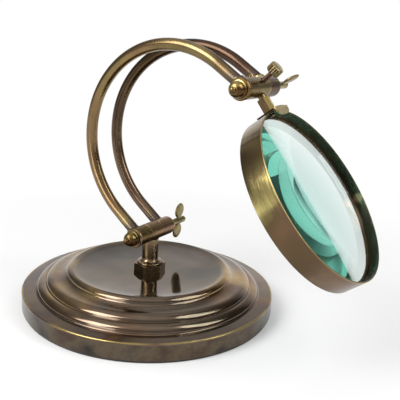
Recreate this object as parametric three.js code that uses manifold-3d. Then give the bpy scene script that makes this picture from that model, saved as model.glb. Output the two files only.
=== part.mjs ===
// Stand magnifier: a round lens hung from two bent tubes over a stepped round base.
// Millimetres, +Z up. The origin is the centre of the face that rests on the table.
// The two arms lie in planes parallel to XZ, the lens hangs on the +X side and both pivots run along Y.
import * as THREE from "three";
import { mergeVertices } from "three/addons/utils/BufferGeometryUtils.js";
import Module from "manifold-3d";

const wasm = await Module();
wasm.setup();

// Driving dimensions

const base = {
  radius: 81.4,
  rimHeight: 12,
  rimEdge: 0.6,
  ledgeWidth: 8.6,
  ledgeRise: 0.5,
  lowerBeadWidth: 5.6,
  lowerBeadRise: 4.5,
  grooveWidth: 0.9,
  grooveDrop: 0.3,
  upperBeadWidth: 5.3,
  upperBeadRise: 3.6,
  coveWidth: 7.6,
  coveRise: 2.3,
  shoulderWidth: 3.8,
  shoulderRise: 2.6,
  seatRadius: 12,
  dishDepth: 2.7,
  wall: 1.8,
};

const felt = { inset: 0.8, thickness: 1.2 };

const pillar = {
  columnRadius: 5.2,
  footRadius: 8.5,
  footThickness: 0.8,
  footRise: 2.6,
  shoulderRadius: 6.7,
  spigotRadius: 3,
  spigotDepth: 3.2,
  studRadius: 3,
  studPastNut: 2.5,
};

const collar = { cornerRadius: 10.4, height: 5.1, chamfer: 0.8, turnDegrees: -13.8 };
const baseWasher = { radius: 9, thickness: 1.2 };
const baseNut = { cornerRadius: 6.4, height: 5 };

const lowerPivot = {
  height: 48.65,
  centreHalfLength: 6.05,
  nearEnd: 16.9,
  farEnd: 19.4,
};

const upperPivot = {
  forward: 67.97,
  height: 147.11,
  centreHalfLength: 7.6,
  nearEnd: 18.6,
  farEnd: 19.5,
};

const barrel = { radius: 5.95, edge: 0.35, farEdge: 1.1 };
const bearingWasher = { radius: 6.2, thickness: 1.5 };

const arm = {
  planeOffset: 12.33,
  radius: 3.56,
  wall: 1,
  bow: 18.5,
  straightEnd: 21.1,
};

const screw = { shankRadius: 1.9, threadLength: 4.2, holeDepth: 4.7 };

const acorn = {
  flangeRadius: 5,
  flangeThickness: 1.2,
  neckRadius: 4.2,
  neckThickness: 0.6,
  domeRadius: 4.6,
  domeLength: 4.6,
  waistRadius: 1.4,
  ballRadius: 1.6,
};

const wing = {
  collarRadius: 2.9,
  collarLength: 2.2,
  hubRadius: 2.2,
  hubLength: 15.3,
  earReach: 4.8,
  earHalfWidth: 4.1,
  earCentre: 7.4,
  earThickness: 1.7,
  earNeckWidth: 3.4,
  earAlong: 12.2,
  lowerTurnDegrees: 85,
  upperTurnDegrees: 33.4,
};

const thumb = {
  shankRadius: 1.5,
  turnDegrees: 46,
  headStart: 12.3,
  headRadius: 4.1,
  headThickness: 4.8,
  headEdge: 0.5,
  fluteRadius: 0.5,
  sinkRadius: 2.6,
  sinkDepth: 0.8,
};

const head = {
  tiltDegrees: 38.1,
  swivelDegrees: 1.4,
  rodRadius: 2.25,
  rodTip: 7.9,
  rodSpigotRadius: 1.9,
  rodEdge: 0.4,
  standoffCornerRadius: 3.95,
  standoffStart: 7.2,
  standoffTurnDegrees: 14,
  ringDrop: 16.35,
  ringSetBack: 3.45,
};

const ring = { radius: 52, wall: 0.95, width: 13.9 };

const strap = {
  thickness: 0.8,
  width: 16,
  behindStem: 5.7,
  aheadOfStem: 7,
  tabDrop: 4.6,
  tabWidth: 14,
};

const strapScrew = { headRadius: 1.6, headHeight: 1.3, shankRadius: 0.9, length: 6 };

const lens = {
  edgeThickness: 2.4,
  surfaceRadius: 255,
  seatInFromFront: 7,
};

const retainer = { thickness: 0.6, depth: 1.1 };

// Clearances

const runningGap = 0.1;
const seatGap = 0.1;
const boreGap = 0.2;
const glassGap = 0.15;
const bulgeGap = 0.3;

// Numbers of facets

const baseFacets = 48;
const barrelFacets = 24;
const smallFacets = 14;
const ringFacets = 48;
const armOuterFacets = 14;
const armInnerFacets = 7;
const armSteps = 32;
const mouldingSteps = 3;
const strapSteps = 8;
const thumbFlutes = 16;
const hexSides = 6;

const half = 0.5;
const quarterTurn = Math.PI * half;
const halfTurn = Math.PI;
const fullTurn = halfTurn + halfTurn;
const toRadians = THREE.MathUtils.degToRad;

// Directions and placed points

const up = new THREE.Vector3(0, 0, 1);
const across = new THREE.Vector3(0, 1, 0);
const headTilt = toRadians(head.tiltDegrees);
const headSwivel = toRadians(head.swivelDegrees);
const thumbTurn = toRadians(thumb.turnDegrees);
const stemDirection = new THREE.Vector3(Math.sin(headTilt), 0, -Math.cos(headTilt));
const thumbDirection = new THREE.Vector3(Math.cos(thumbTurn), 0, Math.sin(thumbTurn));
const headFacing = new THREE.Vector3(Math.cos(headTilt), 0, Math.sin(headTilt));
const lensFacing = headFacing
  .clone()
  .multiplyScalar(Math.cos(headSwivel))
  .addScaledVector(across, Math.sin(headSwivel));
const lensAcross = new THREE.Vector3().crossVectors(stemDirection, lensFacing);
const lowerAxis = new THREE.Vector3(0, 0, lowerPivot.height);
const upperAxis = new THREE.Vector3(upperPivot.forward, 0, upperPivot.height);
const ringDistance = head.ringDrop + ring.radius;
const ringCentre = upperAxis
  .clone()
  .addScaledVector(stemDirection, ringDistance)
  .addScaledVector(lensFacing, -head.ringSetBack);

// Materials, with the colours of the photograph

const metal = (color, roughness) => new THREE.MeshStandardMaterial({ color, roughness, metalness: 1 });
const baseBrass = metal(0x7a6352, 0.3);
const darkBrass = metal(0x6b5638, 0.35);
const oliveBrass = metal(0x8a7440, 0.32);
const redBrass = metal(0x7a5542, 0.32);
const barrelBrass = metal(0x86693f, 0.36);
const brightBrass = metal(0xb8963e, 0.28);
const ringBrass = metal(0x84683f, 0.34);
const steel = metal(0x77736c, 0.45);
const feltCloth = new THREE.MeshStandardMaterial({ color: 0x20201e, roughness: 0.95, metalness: 0 });
const glass = new THREE.MeshStandardMaterial({
  color: 0xd6efe8,
  roughness: 0.03,
  metalness: 0,
  transparent: true,
  opacity: 0.35,
});

// Solids

// A closed three.js geometry as a solid that can be joined and cut.
function solid(geometry) {
  const bare = geometry.index ? geometry.toNonIndexed() : geometry.clone();
  const positions = new THREE.BufferGeometry();
  positions.setAttribute("position", bare.getAttribute("position"));
  const mergeDistance = 1e-3;
  const merged = mergeVertices(positions, mergeDistance);
  return new wasm.Manifold(
    new wasm.Mesh({
      numProp: 3,
      vertProperties: merged.attributes.position.array,
      triVerts: new Uint32Array(merged.index.array),
    }),
  );
}

// A solid as a named mesh of the scene.
function piece(name, body, material) {
  const mesh = body.getMesh();
  const stride = mesh.numProp;
  const vertices = new Float32Array(mesh.numVert * 3);
  for (let i = 0; i < mesh.numVert; i++) {
    vertices.set(mesh.vertProperties.subarray(i * stride, i * stride + 3), i * 3);
  }
  const geometry = new THREE.BufferGeometry();
  geometry.setAttribute("position", new THREE.BufferAttribute(vertices, 3));
  geometry.setIndex(new THREE.BufferAttribute(mesh.triVerts, 1));
  geometry.computeVertexNormals();
  const made = new THREE.Mesh(geometry, material);
  made.name = name;
  return made;
}

// A frame at a point whose Z runs along a direction; its Y is as near to the world's Y as it can be.
function frameAt(origin, direction) {
  const z = direction.clone().normalize();
  const guide = Math.abs(z.y) > half ? up : across;
  const x = new THREE.Vector3().crossVectors(guide, z).normalize();
  const y = new THREE.Vector3().crossVectors(z, x);
  return new THREE.Matrix4().makeBasis(x, y, z).setPosition(origin);
}

// A solid of revolution about Z from [radius, height] points that start and end on the axis or close.
function turned(points, facets) {
  const outline = points.map(([radius, height]) => new THREE.Vector2(radius, height));
  const geometry = new THREE.LatheGeometry(outline, facets);
  geometry.rotateX(quarterTurn);
  const body = solid(geometry);
  if (body.volume() > 0) return body;
  const reversed = new THREE.LatheGeometry(outline.slice().reverse(), facets);
  reversed.rotateX(quarterTurn);
  return solid(reversed);
}

// A plain cylinder about Z between two heights.
function rod(radius, from, to, facets) {
  return turned([[0, from], [radius, from], [radius, to], [0, to]], facets);
}

// A ring about Z between two heights.
function tubeRing(outer, inner, from, to, facets) {
  return turned([[inner, from], [outer, from], [outer, to], [inner, to], [inner, from]], facets);
}

// A flat outline of [x, y] points pushed up along Z.
function prism(outline, from, to) {
  const shape = new THREE.Shape(outline.map(([x, y]) => new THREE.Vector2(x, y)));
  const geometry = new THREE.ExtrudeGeometry(shape, { depth: to - from, bevelEnabled: false });
  geometry.translate(0, 0, from);
  return solid(geometry);
}

// The corners of a regular hexagon.
function hexagon(cornerRadius, turn) {
  return Array.from({ length: hexSides }, (_, i) => {
    const angle = turn + (fullTurn * i) / hexSides;
    return [cornerRadius * Math.cos(angle), cornerRadius * Math.sin(angle)];
  });
}

// A solid made about Z, moved into a frame.
function placed(body, frame) {
  return body.transform(frame.toArray());
}

// A quarter of an ellipse that leaves upwards and arrives level, as a rounded step does.
function roundedStep([fromRadius, fromHeight], [toRadius, toHeight]) {
  return Array.from({ length: mouldingSteps + 1 }, (_, i) => {
    const angle = (quarterTurn * i) / mouldingSteps;
    return [
      toRadius + (fromRadius - toRadius) * Math.cos(angle),
      fromHeight + (toHeight - fromHeight) * Math.sin(angle),
    ];
  });
}

// A quarter of an ellipse that leaves level and arrives upwards, as a cove does.
function cove([fromRadius, fromHeight], [toRadius, toHeight]) {
  return Array.from({ length: mouldingSteps + 1 }, (_, i) => {
    const angle = (quarterTurn * i) / mouldingSteps;
    return [
      fromRadius - (fromRadius - toRadius) * Math.sin(angle),
      toHeight - (toHeight - fromHeight) * Math.cos(angle),
    ];
  });
}

// Base: a hollow stepped shell on a felt pad, with a shallow dished top

const feltRadius = base.radius - felt.inset;
const shellBottom = felt.thickness + seatGap;
const rimTop = [base.radius, base.rimHeight];
const ledgeEnd = [rimTop[0] - base.ledgeWidth, rimTop[1] + base.ledgeRise];
const lowerBeadTop = [ledgeEnd[0] - base.lowerBeadWidth, ledgeEnd[1] + base.lowerBeadRise];
const grooveEnd = [lowerBeadTop[0] - base.grooveWidth, lowerBeadTop[1] - base.grooveDrop];
const upperBeadTop = [grooveEnd[0] - base.upperBeadWidth, grooveEnd[1] + base.upperBeadRise];
const coveTop = [upperBeadTop[0] - base.coveWidth, upperBeadTop[1] + base.coveRise];
const plateEdge = [coveTop[0] - base.shoulderWidth, coveTop[1] + base.shoulderRise];
const plateSeat = [base.seatRadius, plateEdge[1] - base.dishDepth];
const seatHeight = plateSeat[1];
const hiddenTop = seatHeight - base.wall;
const studBore = pillar.studRadius + boreGap;

// A point of the shell's outside, moved one wall inwards and one wall down.
const underside = ([radius, height]) => [radius - base.wall, height - base.wall];

function makeBaseShell() {
  const rim = [
    [base.radius, shellBottom],
    [base.radius, base.rimHeight - base.rimEdge],
    [base.radius - base.rimEdge, base.rimHeight],
    ledgeEnd,
  ];
  const beadFoot = [ledgeEnd[0] - base.rimEdge, ledgeEnd[1] + base.rimEdge];
  const outside = [
    ...rim,
    ...roundedStep(beadFoot, lowerBeadTop),
    ...roundedStep(grooveEnd, upperBeadTop),
    ...cove(upperBeadTop, coveTop).slice(1),
    ...roundedStep(coveTop, plateEdge).slice(1),
    plateSeat,
    [studBore, seatHeight],
  ];
  const inside = [
    [studBore, hiddenTop],
    [base.seatRadius, hiddenTop],
    underside(plateEdge),
    underside(coveTop),
    underside(upperBeadTop),
    underside(grooveEnd),
    [lowerBeadTop[0], lowerBeadTop[1] - base.wall - base.wall],
    underside(ledgeEnd),
    underside(rimTop),
    [base.radius - base.wall, shellBottom],
    [base.radius, shellBottom],
  ];
  return turned([...outside, ...inside], baseFacets);
}

function makeFeltPad() {
  return rod(feltRadius, 0, felt.thickness, baseFacets);
}

// Pillar, its hexagonal collar, and the nut that holds both under the base

const collarBottom = seatHeight + seatGap;
const collarTop = collarBottom + collar.height;
const footBottom = collarTop + seatGap;
const columnBottom = footBottom + pillar.footThickness + pillar.footRise;
const washerTop = hiddenTop - seatGap;
const washerBottom = washerTop - baseWasher.thickness;
const nutTop = washerBottom - seatGap;
const nutBottom = nutTop - baseNut.height;
const studBottom = nutBottom - pillar.studPastNut;
const collarTurn = toRadians(collar.turnDegrees);

function makeHexCollar() {
  const flat = collar.cornerRadius * Math.cos(halfTurn / hexSides);
  const block = prism(hexagon(collar.cornerRadius, collarTurn), collarBottom, collarTop);
  const chamferShape = turned(
    [
      [0, collarBottom],
      [collar.cornerRadius, collarBottom],
      [collar.cornerRadius, collarTop - collar.chamfer],
      [flat - collar.chamfer * half, collarTop],
      [0, collarTop],
    ],
    barrelFacets,
  );
  const bore = rod(studBore, 0, collarTop + collar.height, smallFacets);
  return block.intersect(chamferShape).subtract(bore);
}

function makePillar() {
  const foot = [
    [0, footBottom],
    [pillar.footRadius, footBottom],
    [pillar.footRadius, footBottom + pillar.footThickness],
    ...cove(
      [pillar.footRadius - pillar.footThickness, footBottom + pillar.footThickness],
      [pillar.shoulderRadius, footBottom + pillar.footThickness + pillar.footRise * half],
    ),
    ...roundedStep(
      [pillar.shoulderRadius, footBottom + pillar.footThickness + pillar.footRise * half],
      [pillar.columnRadius, columnBottom],
    ).slice(1),
    [pillar.columnRadius, lowerPivot.height],
    [0, lowerPivot.height],
  ];
  const barrelSeat = placed(
    rod(barrel.radius + seatGap, -barrel.radius - barrel.radius, barrel.radius + barrel.radius, barrelFacets),
    frameAt(lowerAxis, across),
  );
  const spigotTop = lowerPivot.height - barrel.radius + pillar.spigotDepth;
  const stud = rod(pillar.studRadius, studBottom, footBottom + pillar.footThickness, smallFacets);
  const spigot = rod(pillar.spigotRadius, columnBottom, spigotTop, smallFacets);
  return turned(foot, barrelFacets).subtract(barrelSeat).add(spigot).add(stud);
}

function makeBaseWasher() {
  return tubeRing(baseWasher.radius, studBore, washerBottom, washerTop, smallFacets);
}

function makeBaseNut() {
  const bore = rod(studBore, 0, seatHeight, smallFacets);
  return prism(hexagon(baseNut.cornerRadius, 0), nutBottom, nutTop).subtract(bore);
}

// Arms: two tubes side by side, each bent to one arc with a short straight end into either barrel

const pivotSpan = upperAxis.clone().sub(lowerAxis);
const spanDirection = pivotSpan.clone().normalize();
const bowDirection = new THREE.Vector3().crossVectors(spanDirection, across);
const halfSpan = pivotSpan.length() * half;
const arcCentre = lowerAxis
  .clone()
  .addScaledVector(pivotSpan, half)
  .addScaledVector(bowDirection, arm.bow);
const arcRadius = Math.sqrt(halfSpan ** 2 + arm.bow ** 2 - arm.straightEnd ** 2);
const bendStart = Math.atan2(arm.straightEnd, arcRadius) - Math.atan2(arm.bow, halfSpan);
const bendAngle = halfTurn - bendStart - bendStart;

class ArmPath extends THREE.Curve {
  getPoint(share, target = new THREE.Vector3()) {
    const bendLength = arcRadius * bendAngle;
    const distance = share * (bendLength + arm.straightEnd + arm.straightEnd) - arm.straightEnd;
    const bent = THREE.MathUtils.clamp(distance, 0, bendLength);
    const angle = bendStart + bent / arcRadius;
    const outward = spanDirection.clone().multiplyScalar(Math.cos(angle));
    outward.addScaledVector(bowDirection, Math.sin(angle));
    const onward = bowDirection.clone().multiplyScalar(Math.cos(angle));
    onward.addScaledVector(spanDirection, -Math.sin(angle));
    return target
      .copy(arcCentre)
      .addScaledVector(outward, arcRadius)
      .addScaledVector(onward, distance - bent);
  }
}

// Evenly spaced points of a circle.
function circle(radius, facets) {
  return Array.from({ length: facets }, (_, i) => {
    const angle = (fullTurn * i) / facets;
    return new THREE.Vector2(radius * Math.cos(angle), radius * Math.sin(angle));
  });
}

function makeArm(side) {
  const section = new THREE.Shape(circle(arm.radius, armOuterFacets));
  section.holes.push(new THREE.Path(circle(arm.radius - arm.wall, armInnerFacets)));
  const geometry = new THREE.ExtrudeGeometry(section, {
    steps: armSteps,
    extrudePath: new ArmPath(),
    bevelEnabled: false,
  });
  geometry.translate(0, side * arm.planeOffset, 0);
  const seatReach = arm.planeOffset + arm.radius + barrel.radius;
  const seat = rod(barrel.radius + seatGap, -seatReach, seatReach, barrelFacets);
  return solid(geometry)
    .subtract(placed(seat, frameAt(lowerAxis, across)))
    .subtract(placed(seat, frameAt(upperAxis, across)));
}

// Pivot barrels: a near and a far knuckle that carry the arms, and a centre knuckle between them

const screwBore = screw.shankRadius + boreGap;

// A knuckle about Y that is bored through.
function makeOuterKnuckle(axis, side, from, to, endEdge) {
  const outline = [
    [screwBore, from],
    [barrel.radius - barrel.edge, from],
    [barrel.radius, from + barrel.edge],
    [barrel.radius, to - endEdge],
    [barrel.radius - endEdge * half, to - endEdge * (1 - Math.SQRT1_2)],
    [barrel.radius - endEdge, to],
    [screwBore, to],
    [screwBore, from],
  ];
  return placed(turned(outline, barrelFacets), frameAt(axis, across.clone().multiplyScalar(side)));
}

// A knuckle about Y with a blind screw hole in each end.
function makeCentreKnuckle(axis, halfLength) {
  const holeEnd = halfLength - screw.holeDepth;
  const outline = [
    [0, -holeEnd],
    [screwBore, -holeEnd],
    [screwBore, -halfLength],
    [barrel.radius - barrel.edge, -halfLength],
    [barrel.radius, -halfLength + barrel.edge],
    [barrel.radius, halfLength - barrel.edge],
    [barrel.radius - barrel.edge, halfLength],
    [screwBore, halfLength],
    [screwBore, holeEnd],
    [0, holeEnd],
  ];
  return placed(turned(outline, barrelFacets), frameAt(axis, across));
}

function makeLowerCentreKnuckle() {
  const socketTop = lowerPivot.height - barrel.radius + pillar.spigotDepth + seatGap;
  const socket = rod(pillar.spigotRadius + boreGap, columnBottom, socketTop, smallFacets);
  return makeCentreKnuckle(lowerAxis, lowerPivot.centreHalfLength).subtract(socket);
}

function makeUpperCentreKnuckle() {
  const reach = barrel.radius + barrel.radius;
  const rodHole = rod(head.rodRadius + boreGap, -reach, reach, smallFacets);
  const screwHole = turned(
    [
      [0, 0],
      [thumb.shankRadius + boreGap, 0],
      [thumb.shankRadius + boreGap, barrel.radius - thumb.sinkDepth],
      [thumb.sinkRadius, barrel.radius],
      [thumb.sinkRadius, reach],
      [0, reach],
    ],
    smallFacets,
  );
  return makeCentreKnuckle(upperAxis, upperPivot.centreHalfLength)
    .subtract(placed(rodHole, frameAt(upperAxis, stemDirection)))
    .subtract(placed(screwHole, frameAt(upperAxis, thumbDirection)));
}

function makeBearingWasher(axis, pivot) {
  const from = pivot.nearEnd + seatGap;
  const outline = [
    [screwBore, from],
    [bearingWasher.radius, from],
    [bearingWasher.radius, from + bearingWasher.thickness - barrel.edge],
    [bearingWasher.radius - barrel.edge, from + bearingWasher.thickness],
    [screwBore, from + bearingWasher.thickness],
    [screwBore, from],
  ];
  return placed(turned(outline, barrelFacets), frameAt(axis, across.clone().negate()));
}

// Acorn screws: the domed pivot screws at the near ends

function makeAcornScrew(axis, pivot) {
  const flangeStart = pivot.nearEnd + seatGap + bearingWasher.thickness + seatGap;
  const neckStart = flangeStart + acorn.flangeThickness;
  const domeStart = neckStart + acorn.neckThickness;
  const waist = domeStart + acorn.domeLength;
  const ballCentre = waist + acorn.ballRadius * half;
  const dome = Array.from({ length: mouldingSteps + 1 }, (_, i) => {
    const angle = (quarterTurn * i) / mouldingSteps;
    return [
      acorn.waistRadius + (acorn.domeRadius - acorn.waistRadius) * Math.cos(angle),
      domeStart + acorn.domeLength * Math.sin(angle),
    ];
  });
  const ball = Array.from({ length: mouldingSteps + 1 }, (_, i) => {
    const angle = (quarterTurn * i) / mouldingSteps;
    return [acorn.ballRadius * Math.cos(angle), ballCentre + acorn.ballRadius * Math.sin(angle)];
  });
  ball[mouldingSteps][0] = 0;
  const shankEnd = pivot.centreHalfLength - screw.threadLength;
  const outline = [
    [0, shankEnd],
    [screw.shankRadius, shankEnd],
    [screw.shankRadius, flangeStart],
    [acorn.flangeRadius, flangeStart],
    [acorn.flangeRadius, neckStart],
    [acorn.neckRadius, neckStart],
    [acorn.neckRadius, domeStart],
    ...dome,
    ...ball,
  ];
  return placed(turned(outline, smallFacets), frameAt(axis, across.clone().negate()));
}

// Wing screws: a long hub with two flat round ears, at the far ends

function makeWingScrew(axis, pivot, turnDegrees) {
  const collarStart = pivot.farEnd + seatGap;
  const hubStart = collarStart + wing.collarLength;
  const hubEnd = hubStart + wing.hubLength;
  const shankEnd = pivot.centreHalfLength - screw.threadLength;
  const hubTip = Array.from({ length: mouldingSteps + 1 }, (_, i) => {
    const angle = (quarterTurn * i) / mouldingSteps;
    return [wing.hubRadius * Math.cos(angle), hubEnd + wing.hubRadius * Math.sin(angle)];
  });
  hubTip[mouldingSteps][0] = 0;
  const hub = turned(
    [
      [0, shankEnd],
      [screw.shankRadius, shankEnd],
      [screw.shankRadius, collarStart],
      [wing.collarRadius, collarStart],
      [wing.collarRadius, hubStart],
      ...hubTip,
    ],
    smallFacets,
  );
  const turn = toRadians(turnDegrees);
  const outward = new THREE.Vector3(Math.cos(turn), 0, Math.sin(turn));
  const flat = new THREE.Vector3().crossVectors(outward, across);
  const centre = axis.clone().addScaledVector(across, pivot.farEnd + wing.earAlong);
  const plateFrame = new THREE.Matrix4().makeBasis(outward, across, flat).setPosition(centre);
  const earOutline = circle(1, smallFacets).map(({ x, y }) => [x * wing.earReach, y * wing.earHalfWidth]);
  const ear = prism(earOutline, -wing.earThickness * half, wing.earThickness * half);
  const neckHalf = wing.earNeckWidth * half;
  const neck = prism(
    [
      [-wing.earCentre, -neckHalf],
      [wing.earCentre, -neckHalf],
      [wing.earCentre, neckHalf],
      [-wing.earCentre, neckHalf],
    ],
    -wing.earThickness * half,
    wing.earThickness * half,
  );
  const plate = neck.add(ear.translate([wing.earCentre, 0, 0])).add(ear.translate([-wing.earCentre, 0, 0]));
  return placed(hub, frameAt(axis, across)).add(placed(plate, plateFrame));
}

// Thumb screw: a fluted head on a shank that presses on the stem rod

const thumbLean = thumbTurn - headTilt;
const thumbTip = (head.rodRadius + thumb.shankRadius * Math.sin(thumbLean) + seatGap) / Math.cos(thumbLean);

function makeThumbScrew() {
  const headEnd = thumb.headStart + thumb.headThickness;
  const body = turned(
    [
      [0, thumbTip],
      [thumb.shankRadius, thumbTip],
      [thumb.shankRadius, thumb.headStart],
      [thumb.headRadius, thumb.headStart],
      [thumb.headRadius, headEnd - thumb.headEdge],
      [thumb.headRadius - thumb.headEdge, headEnd],
      [0, headEnd],
    ],
    thumbFlutes + thumbFlutes,
  );
  const fluteSides = 4;
  const flute = rod(thumb.fluteRadius, thumb.headStart - thumb.headEdge, headEnd + thumb.headEdge, fluteSides);
  const flutes = Array.from({ length: thumbFlutes }, (_, i) => {
    const angle = (fullTurn * i) / thumbFlutes;
    return flute.translate([thumb.headRadius * Math.cos(angle), thumb.headRadius * Math.sin(angle), 0]);
  });
  const fluted = flutes.reduce((shape, cut) => shape.subtract(cut), body);
  return placed(fluted, frameAt(upperAxis, thumbDirection));
}

// Stem: a round rod through the centre knuckle and a hexagonal standoff down to the strap

const ringTop = head.ringDrop;
const strapBottom = ringTop - seatGap;
const strapTop = strapBottom - strap.thickness;
const standoffEnd = strapTop - seatGap;
const stemFrame = new THREE.Matrix4()
  .makeBasis(lensFacing, lensAcross, stemDirection)
  .setPosition(upperAxis);

function makeStemRod() {
  const spigotEnd = standoffEnd - strapScrew.length - seatGap;
  const rodEnd = head.standoffStart - seatGap;
  const outline = [
    [0, -head.rodTip],
    [head.rodRadius - head.rodEdge, -head.rodTip],
    [head.rodRadius, -head.rodTip + head.rodEdge],
    [head.rodRadius, rodEnd],
    [head.rodSpigotRadius, rodEnd],
    [head.rodSpigotRadius, spigotEnd],
    [0, spigotEnd],
  ];
  return placed(turned(outline, smallFacets), stemFrame);
}

function makeStandoff() {
  const turn = toRadians(head.standoffTurnDegrees);
  const block = prism(hexagon(head.standoffCornerRadius, turn), head.standoffStart, standoffEnd);
  const rodHole = rod(head.rodSpigotRadius + boreGap, 0, standoffEnd - strapScrew.length, smallFacets);
  const screwHole = rod(strapScrew.shankRadius + boreGap, 0, ringTop, smallFacets);
  return placed(block.subtract(rodHole).subtract(screwHole), stemFrame);
}

// Ring holder: a strap that follows the ring's outside, with its front end folded down, and its screw

const strapFrame = new THREE.Matrix4()
  .makeBasis(lensAcross, stemDirection, lensFacing)
  .setPosition(upperAxis);

// Points on a circle round the ring's axis, evenly spaced across a width.
function strapArc(radius, width) {
  const reach = Math.asin((width * half) / radius);
  return Array.from({ length: strapSteps + 1 }, (_, i) => {
    const angle = reach * ((i + i) / strapSteps - 1);
    return [radius * Math.sin(angle), ringDistance - radius * Math.cos(angle)];
  });
}

function makeStrap() {
  const inner = ringDistance - strapBottom;
  const outer = ringDistance - strapTop;
  const plateOutline = [...strapArc(inner, strap.width), ...strapArc(outer, strap.width).reverse()];
  const plate = prism(plateOutline, -strap.behindStem, strap.aheadOfStem);
  const tab = Array.from({ length: strapSteps + 1 }, (_, i) => {
    const angle = (halfTurn * i) / strapSteps;
    return [strap.tabWidth * half * Math.cos(angle), strapBottom + strap.tabDrop * Math.sin(angle)];
  });
  const fold = prism(
    [...strapArc(outer, strap.tabWidth), ...tab],
    strap.aheadOfStem - strap.thickness,
    strap.aheadOfStem,
  );
  const hole = placed(rod(strapScrew.shankRadius + boreGap, 0, ring.radius, smallFacets), stemFrame);
  return placed(plate.add(fold), strapFrame).subtract(hole);
}

function makeStrapScrew() {
  const ringInside = ringTop + ring.wall + seatGap + seatGap;
  const outline = [
    [0, ringInside + strapScrew.headHeight],
    [strapScrew.headRadius * half, ringInside + strapScrew.headHeight],
    [strapScrew.headRadius, ringInside + strapScrew.headHeight * half],
    [strapScrew.headRadius, ringInside],
    [strapScrew.shankRadius, ringInside],
    [strapScrew.shankRadius, standoffEnd - strapScrew.length + seatGap],
    [0, standoffEnd - strapScrew.length + seatGap],
  ];
  return placed(turned(outline, smallFacets), stemFrame);
}

// Lens ring, lens and the two spring rings that keep it in place

const ringFrame = frameAt(ringCentre, lensFacing);
const ringInner = ring.radius - ring.wall;
const lensRadius = ringInner - glassGap;
const lensFront = ring.width * half - lens.seatInFromFront;
const lensBack = lensFront - lens.edgeThickness;

function makeLensRing() {
  const hole = placed(rod(strapScrew.shankRadius + boreGap, 0, ring.radius, smallFacets), stemFrame);
  const band = tubeRing(ring.radius, ringInner, -ring.width * half, ring.width * half, ringFacets);
  return placed(band, ringFrame).subtract(hole);
}

function makeLens() {
  const bulgeSteps = 3;
  const surface = (direction, edge) =>
    Array.from({ length: bulgeSteps + 1 }, (_, i) => {
      const radius = (lensRadius * i) / bulgeSteps;
      const fall = lens.surfaceRadius - Math.sqrt(lens.surfaceRadius ** 2 - radius ** 2);
      const rise = lens.surfaceRadius - Math.sqrt(lens.surfaceRadius ** 2 - lensRadius ** 2);
      return [radius, edge + direction * (rise - fall)];
    });
  const outline = [...surface(-1, lensBack), ...surface(1, lensFront).reverse()];
  return placed(turned(outline, ringFacets), ringFrame);
}

function makeRetainer(edge, direction) {
  const near = edge + direction * bulgeGap;
  const far = near + direction * retainer.thickness;
  const from = Math.min(near, far);
  const to = Math.max(near, far);
  const made = tubeRing(lensRadius, lensRadius - retainer.depth, from, to, ringFacets);
  return placed(made, ringFrame);
}

// Assembly

const magnifier = new THREE.Group();

magnifier.add(
  piece("base_shell", makeBaseShell(), baseBrass),
  piece("felt_pad", makeFeltPad(), feltCloth),
  piece("hex_collar", makeHexCollar(), darkBrass),
  piece("pillar", makePillar(), darkBrass),
  piece("base_washer", makeBaseWasher(), steel),
  piece("base_nut", makeBaseNut(), steel),
);

const lowerFrom = lowerPivot.centreHalfLength + runningGap;
magnifier.add(
  piece("lower_centre_knuckle", makeLowerCentreKnuckle(), redBrass),
  piece("lower_near_knuckle", makeOuterKnuckle(lowerAxis, -1, lowerFrom, lowerPivot.nearEnd, barrel.edge), barrelBrass),
  piece("lower_far_knuckle", makeOuterKnuckle(lowerAxis, 1, lowerFrom, lowerPivot.farEnd, barrel.farEdge), redBrass),
  piece("lower_bearing_washer", makeBearingWasher(lowerAxis, lowerPivot), darkBrass),
  piece("lower_acorn_screw", makeAcornScrew(lowerAxis, lowerPivot), brightBrass),
  piece("lower_wing_screw", makeWingScrew(lowerAxis, lowerPivot, wing.lowerTurnDegrees), brightBrass),
);

magnifier.add(piece("near_arm", makeArm(-1), oliveBrass), piece("far_arm", makeArm(1), redBrass));

const upperFrom = upperPivot.centreHalfLength + runningGap;
magnifier.add(
  piece("upper_centre_knuckle", makeUpperCentreKnuckle(), barrelBrass),
  piece("upper_near_knuckle", makeOuterKnuckle(upperAxis, -1, upperFrom, upperPivot.nearEnd, barrel.edge), barrelBrass),
  piece("upper_far_knuckle", makeOuterKnuckle(upperAxis, 1, upperFrom, upperPivot.farEnd, barrel.farEdge), redBrass),
  piece("upper_bearing_washer", makeBearingWasher(upperAxis, upperPivot), barrelBrass),
  piece("upper_acorn_screw", makeAcornScrew(upperAxis, upperPivot), brightBrass),
  piece("upper_wing_screw", makeWingScrew(upperAxis, upperPivot, wing.upperTurnDegrees), brightBrass),
  piece("thumb_screw", makeThumbScrew(), brightBrass),
);

magnifier.add(
  piece("stem_rod", makeStemRod(), oliveBrass),
  piece("stem_standoff", makeStandoff(), oliveBrass),
  piece("ring_strap", makeStrap(), brightBrass),
  piece("strap_screw", makeStrapScrew(), darkBrass),
  piece("lens_ring", makeLensRing(), ringBrass),
  piece("lens", makeLens(), glass),
  piece("front_retainer", makeRetainer(lensFront, 1), darkBrass),
  piece("back_retainer", makeRetainer(lensBack, -1), darkBrass),
);

export default magnifier;
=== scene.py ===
# %% [markdown]
# # A brass stand magnifier
# A round lens in a brass band hangs from two bent tubes over a stepped round base.
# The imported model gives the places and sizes; this lesson makes each visible piece finer and gives it its metal.
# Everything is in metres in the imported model's own frame, so a piece is made where it belongs.

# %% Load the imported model
import math

import bmesh
import bpy
from mathutils import Matrix, Vector


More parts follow.
